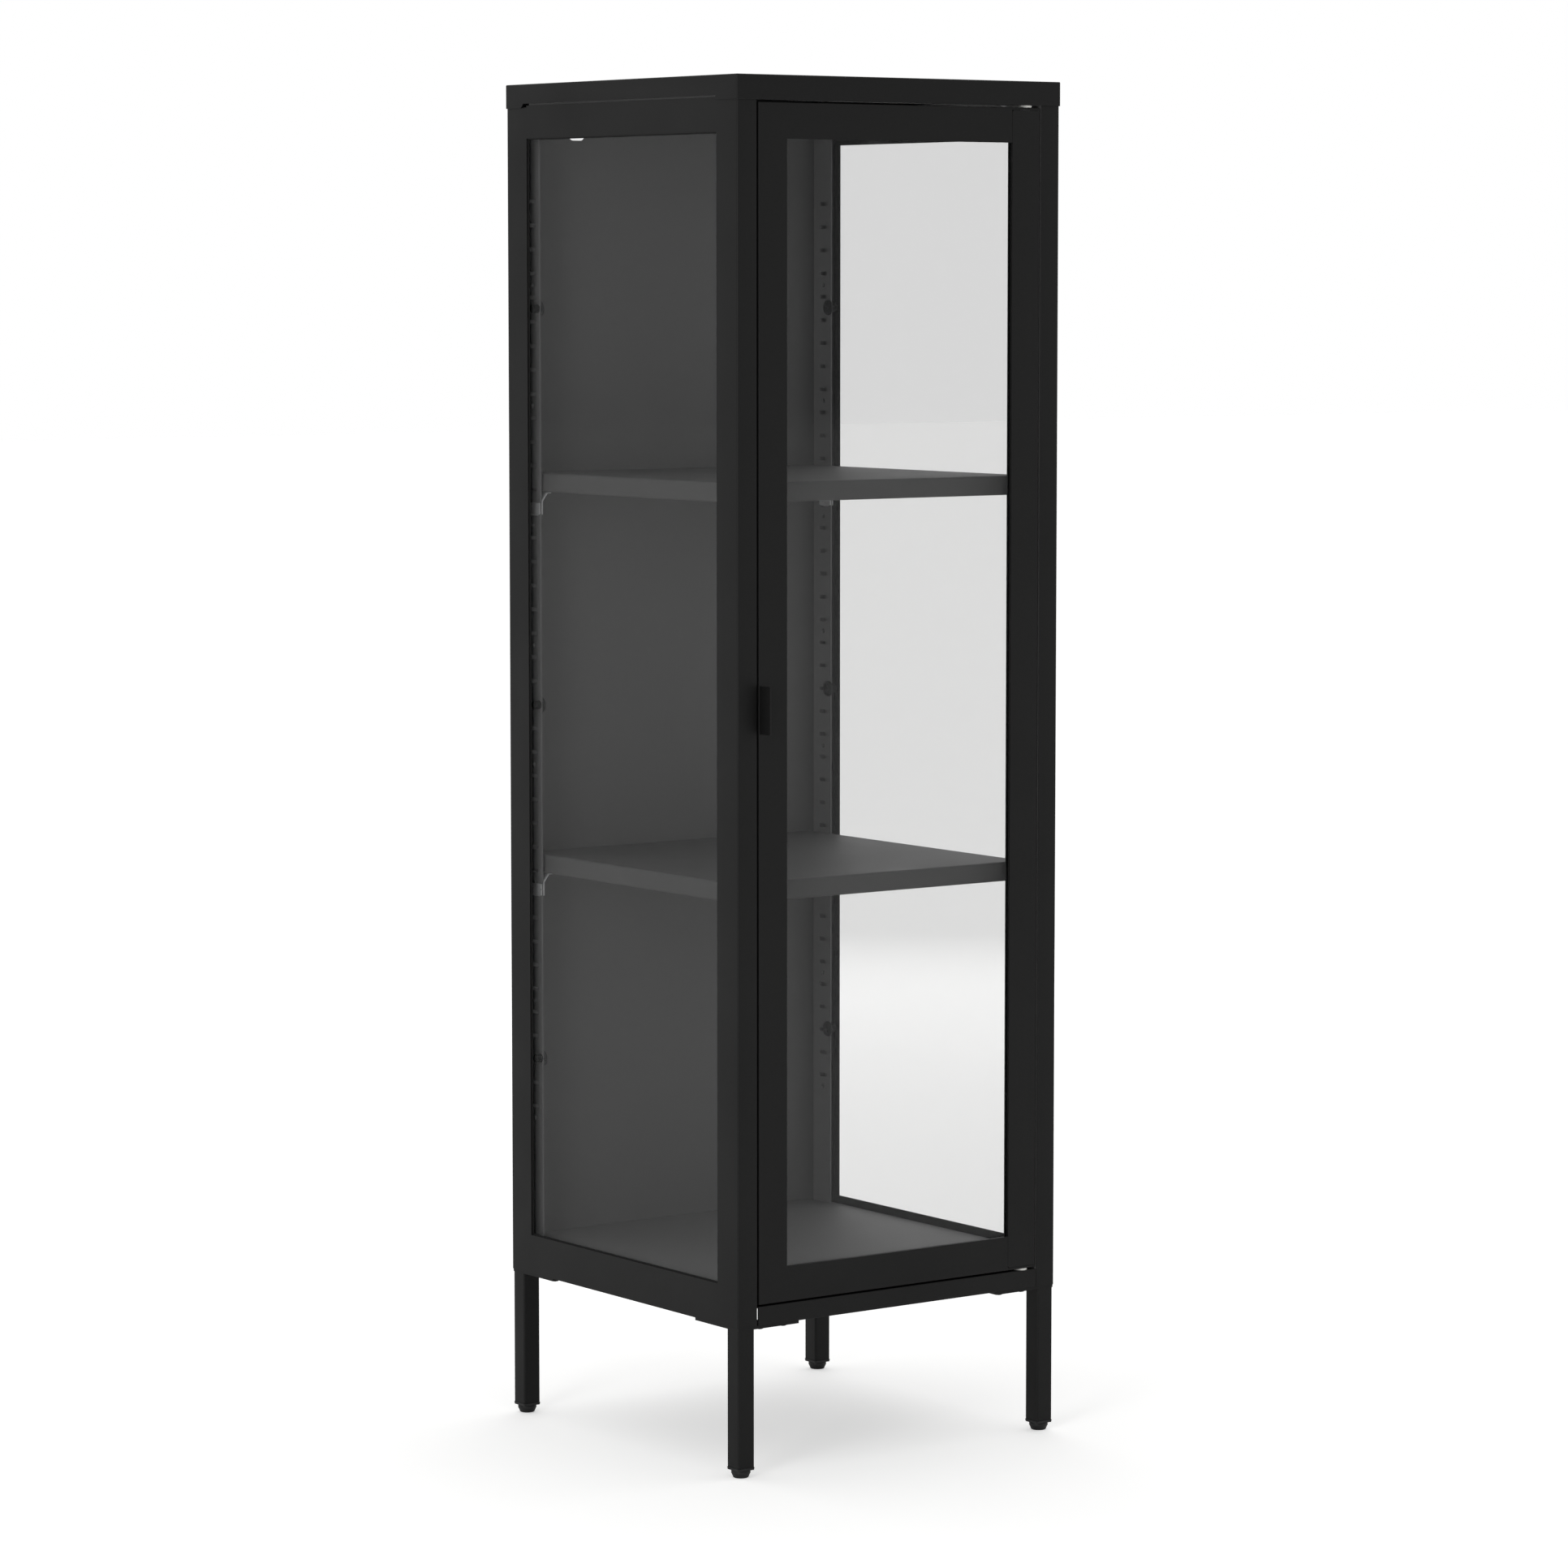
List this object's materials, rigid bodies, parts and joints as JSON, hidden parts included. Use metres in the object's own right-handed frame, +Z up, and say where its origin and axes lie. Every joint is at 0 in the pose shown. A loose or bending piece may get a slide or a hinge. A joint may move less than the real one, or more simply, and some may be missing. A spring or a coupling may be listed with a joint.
{
  "type": "tower display case",
  "caption": "Tall square display cabinet of folded sheet steel with glazed sides, a glazed pivot-hung door, adjustable shelves and slim legs with levelling feet.",
  "frame": {"origin": "middle of the footprint on the floor, with the pull tab counted in the depth", "axes": "+Z up, -Y out of the door, +X to the right seen from the front"},
  "size_m": [0.408, 0.429, 1.4],
  "materials": {
    "powder_coated_steel": "fine-textured black powder coat",
    "clear_glass": "clear toughened glass",
    "black_rubber": "matt extruded rubber",
    "zinc_plated_steel": "bright zinc plate",
    "black_nylon": "moulded black nylon",
    "white_nylon": "moulded natural nylon",
    "magnet": "nickel-plated magnet"
  },
  "bodies": {
    "case": {"top_panel": "powder_coated_steel", "side_panel_left": "powder_coated_steel", "side_panel_right": "powder_coated_steel", "back_panel": "powder_coated_steel", "bottom_panel": "powder_coated_steel", "upright_front_left": "powder_coated_steel", "upright_front_right": "powder_coated_steel", "upright_back_left": "powder_coated_steel", "upright_back_right": "powder_coated_steel", "leg_front_left": "powder_coated_steel", "leg_front_right": "powder_coated_steel", "leg_back_left": "powder_coated_steel", "leg_back_right": "powder_coated_steel", "glass_left": "clear_glass", "glass_right": "clear_glass", "glass_gasket_left": "black_rubber", "glass_gasket_right": "black_rubber", "retainer_pads_left": "black_rubber", "retainer_pads_right": "black_rubber", "shelf_clips_upper": "zinc_plated_steel", "shelf_clips_lower": "zinc_plated_steel", "leg_bolts": "zinc_plated_steel", "cap_screws": "zinc_plated_steel", "upright_screws": "zinc_plated_steel", "tray_screws": "zinc_plated_steel", "glass_retainers_left": "black_nylon", "glass_retainers_right": "black_nylon", "leg_end_plugs": "black_nylon", "magnetic_catches": "black_nylon", "pivot_bush_upper": "white_nylon", "pivot_bush_lower": "white_nylon", "catch_magnets": "magnet"},
    "door": {"door_frame": "powder_coated_steel", "door_hinge_stile": "powder_coated_steel", "door_glass": "clear_glass", "door_gasket": "black_rubber", "door_glass_clamp": "powder_coated_steel", "door_handle": "powder_coated_steel", "handle_rivets": "zinc_plated_steel", "pivot_pin_upper": "zinc_plated_steel", "pivot_pin_lower": "zinc_plated_steel"},
    "shelf_upper": {"shelf_upper": "powder_coated_steel"},
    "shelf_lower": {"shelf_lower": "powder_coated_steel"},
    "foot_front_left": {"foot_front_left": "black_nylon"},
    "foot_front_right": {"foot_front_right": "black_nylon"},
    "foot_back_left": {"foot_back_left": "black_nylon"},
    "foot_back_right": {"foot_back_right": "black_nylon"}
  },
  "joints": [
    {"name": "door_hinge", "type": "hinge", "parent": "case", "child": "door", "pos_m": [0.1634, -0.1905, 0.7], "axis": [0, 0, 1], "range_deg": [0, 120]},
    {"name": "shelf_upper_lift", "type": "slide", "parent": "case", "child": "shelf_upper", "axis": [0, 0, 1], "range_m": [0, 0.12]},
    {"name": "shelf_lower_lift", "type": "slide", "parent": "case", "child": "shelf_lower", "axis": [0, 0, 1], "range_m": [0, 0.12]},
    {"name": "foot_front_left_screw", "type": "slide", "parent": "case", "child": "foot_front_left", "axis": [0, 0, -1], "range_m": [0, 0.01]},
    {"name": "foot_front_right_screw", "type": "slide", "parent": "case", "child": "foot_front_right", "axis": [0, 0, -1], "range_m": [0, 0.01]},
    {"name": "foot_back_left_screw", "type": "slide", "parent": "case", "child": "foot_back_left", "axis": [0, 0, -1], "range_m": [0, 0.01]},
    {"name": "foot_back_right_screw", "type": "slide", "parent": "case", "child": "foot_back_right", "axis": [0, 0, -1], "range_m": [0, 0.01]}
  ]
}
